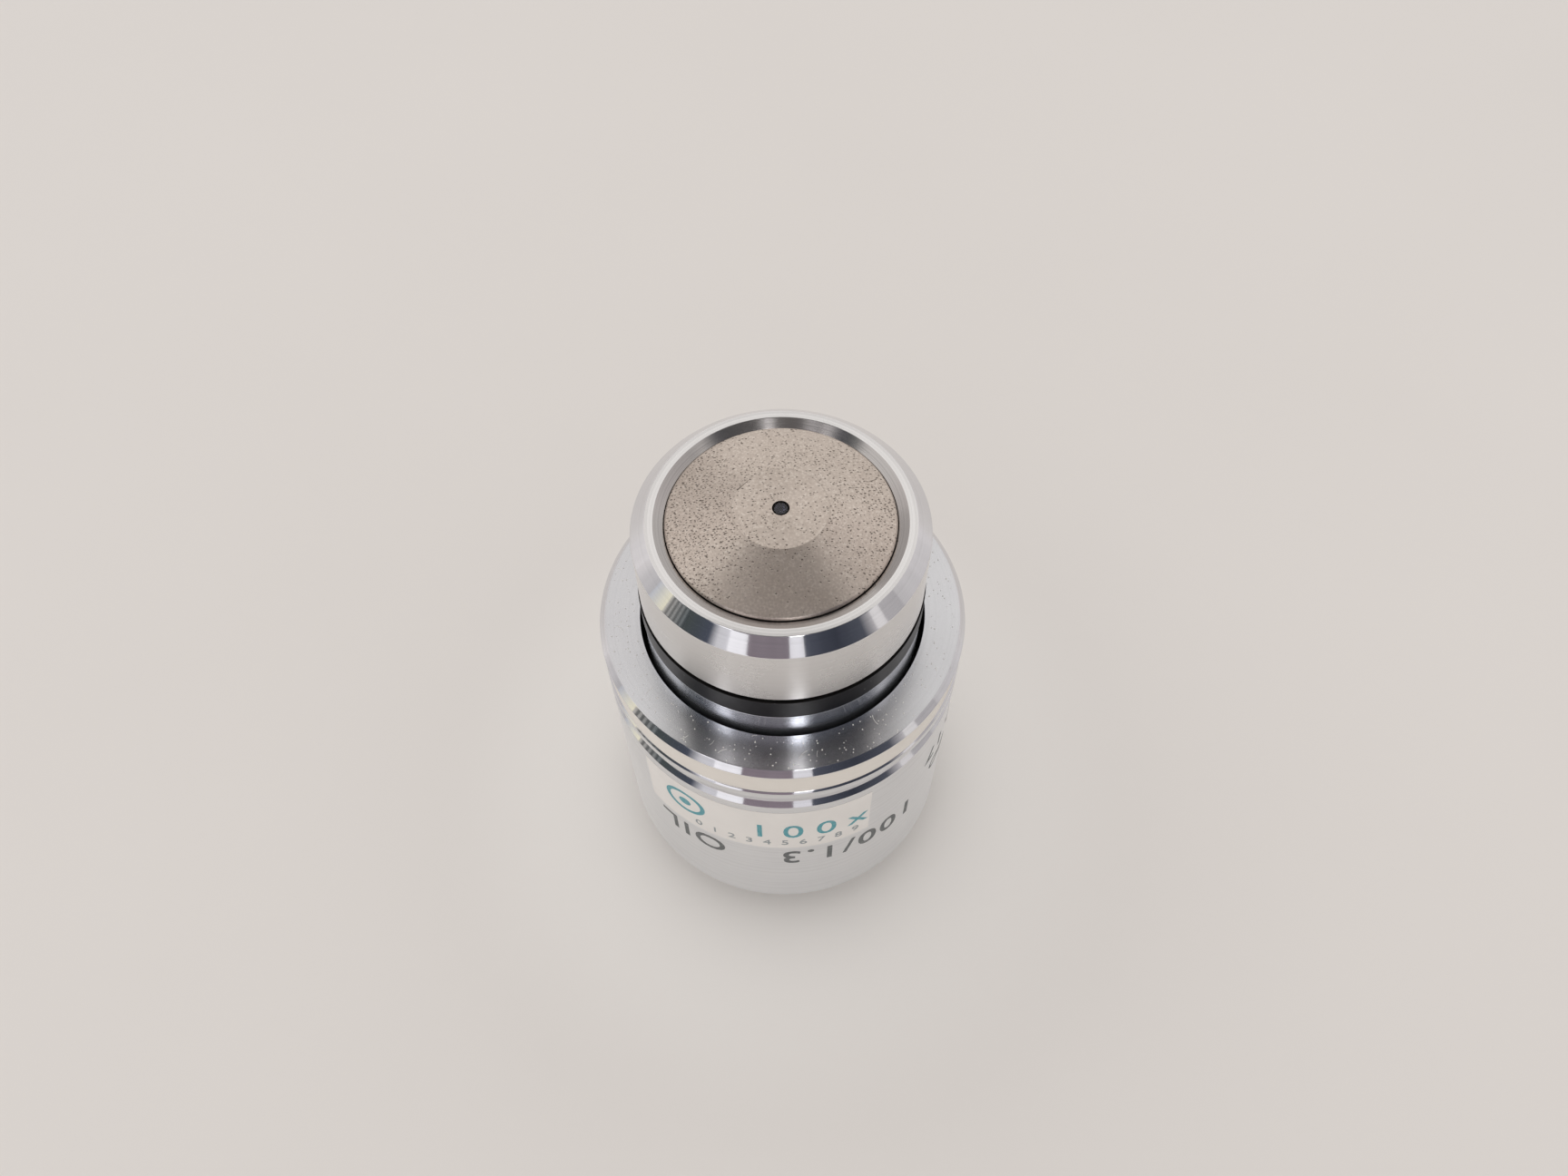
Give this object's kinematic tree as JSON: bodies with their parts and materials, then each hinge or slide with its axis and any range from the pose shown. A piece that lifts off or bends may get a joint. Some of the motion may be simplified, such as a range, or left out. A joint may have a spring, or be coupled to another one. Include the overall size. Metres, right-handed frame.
{
  "type": "microscope objective",
  "caption": "Spring-loaded oil-immersion microscope objective: chromed barrel on a mounting thread, sliding nose with conical tip, stacked lens cells inside.",
  "frame": {"origin": "centre of the mounting shoulder, the plane that seats on the nosepiece", "axes": "+Z along the optical axis from the shoulder to the front lens; the part stands on the rear rim of its thread, below the origin"},
  "size_m": [0.032, 0.032, 0.0495],
  "materials": {
    "satin_chrome": "satin chromium plate on a turned barrel",
    "white_enamel": "cream-white enamel filled into a groove",
    "spring_steel": "bare spring steel",
    "polished_chrome": "polished chromium plate",
    "black_enamel": "satin black enamel",
    "turned_steel": "fine-turned stainless steel with a mirror-cut chamfer",
    "matte_nickel": "matte bead-blasted nickel with fine pits",
    "lens_glass": "coated optical glass",
    "black_brass": "blackened turned brass"
  },
  "bodies": {
    "barrel": {"outer_barrel": "satin_chrome", "colour_ring": "white_enamel", "thread_base": "satin_chrome", "retraction_spring": "spring_steel", "guide_screw": "spring_steel"},
    "nose": {"lens_tube": "polished_chrome", "immersion_ring": "black_enamel", "nose_sleeve": "turned_steel", "front_mount": "matte_nickel", "front_lens": "lens_glass", "meniscus_lens": "lens_glass", "meniscus_retainer": "black_brass", "spacer_1": "black_brass", "spacer_2": "black_brass", "spacer_3": "black_brass", "lens_cell_1": "black_brass", "lens_cell_2": "black_brass", "lens_cell_3": "black_brass", "lens_cell_4": "black_brass", "singlet_lens": "lens_glass", "triplet_front": "lens_glass", "triplet_middle": "lens_glass", "triplet_rear": "lens_glass", "doublet_front": "lens_glass", "doublet_rear": "lens_glass", "rear_doublet_front": "lens_glass", "rear_doublet_rear": "lens_glass", "cell_lock_ring": "black_brass"}
  },
  "joints": [
    {"name": "nose_slide", "type": "slide", "parent": "barrel", "child": "nose", "axis": [0, 0, -1], "range_m": [0, 0.0025], "stiffness_N_per_m": 800, "springref_m": -0.004, "deforming": ["retraction_spring"]}
  ]
}
